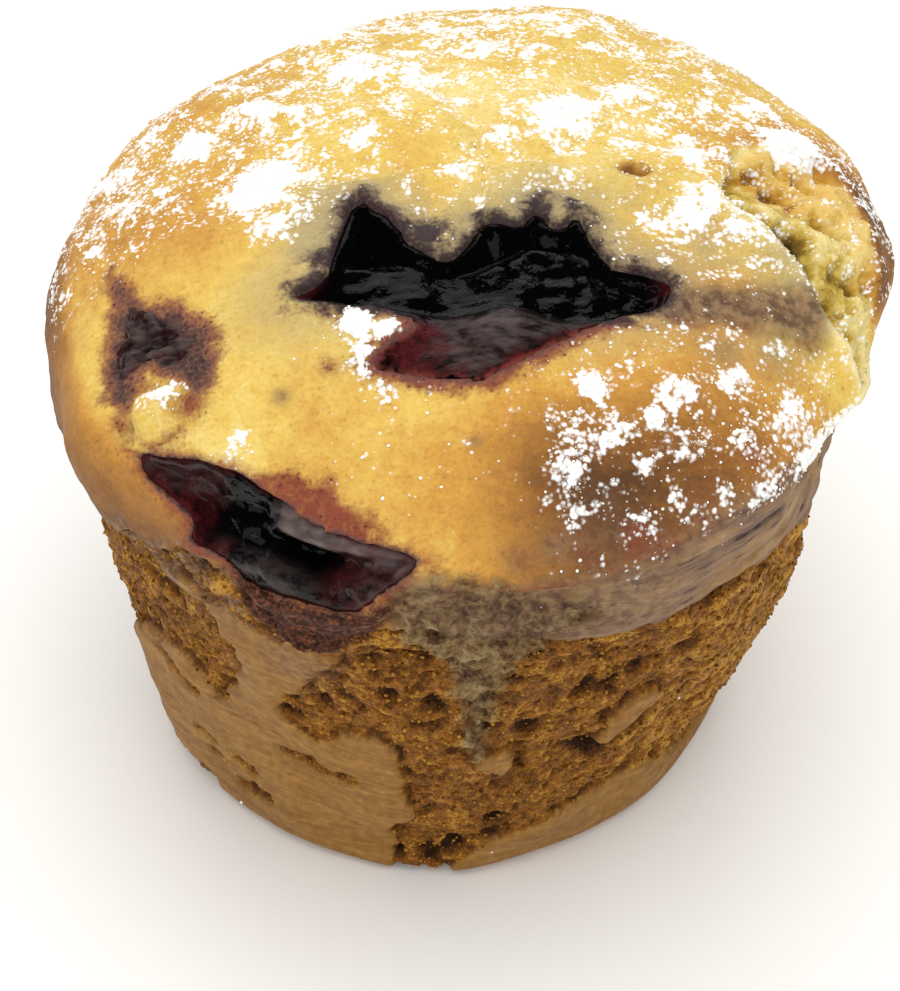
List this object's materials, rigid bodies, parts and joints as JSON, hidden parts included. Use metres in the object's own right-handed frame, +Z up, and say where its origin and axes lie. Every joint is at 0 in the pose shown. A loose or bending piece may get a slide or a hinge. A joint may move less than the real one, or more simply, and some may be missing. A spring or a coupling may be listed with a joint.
{
  "type": "muffin",
  "caption": "Tin-baked muffin with a broad crown risen over the rim, burst dark berries showing in it, a torn place at one side and a flat base to stand on.",
  "frame": {"origin": "on the surface the muffin stands on, under the middle of its bounding box", "axes": "+Z up out of the crown, -Y towards the front, where the lower burst berry is, +X to the right seen from the front"},
  "size_m": [0.0762, 0.0802, 0.063],
  "materials": {
    "baked_crust": "dull baked crust, golden on the crown and browner on the torn sides, dusted with powdered sugar",
    "burst_berry": "wet glossy flesh and skin of burst berries, nearly black with purple-red edges",
    "powdered_sugar": "dull white powdered sugar lying in grains and small clots"
  },
  "bodies": {
    "root": {"muffin_body": "baked_crust", "berry_centre": "burst_berry", "berry_front": "burst_berry", "berry_left": "burst_berry"}
  },
  "joints": []
}
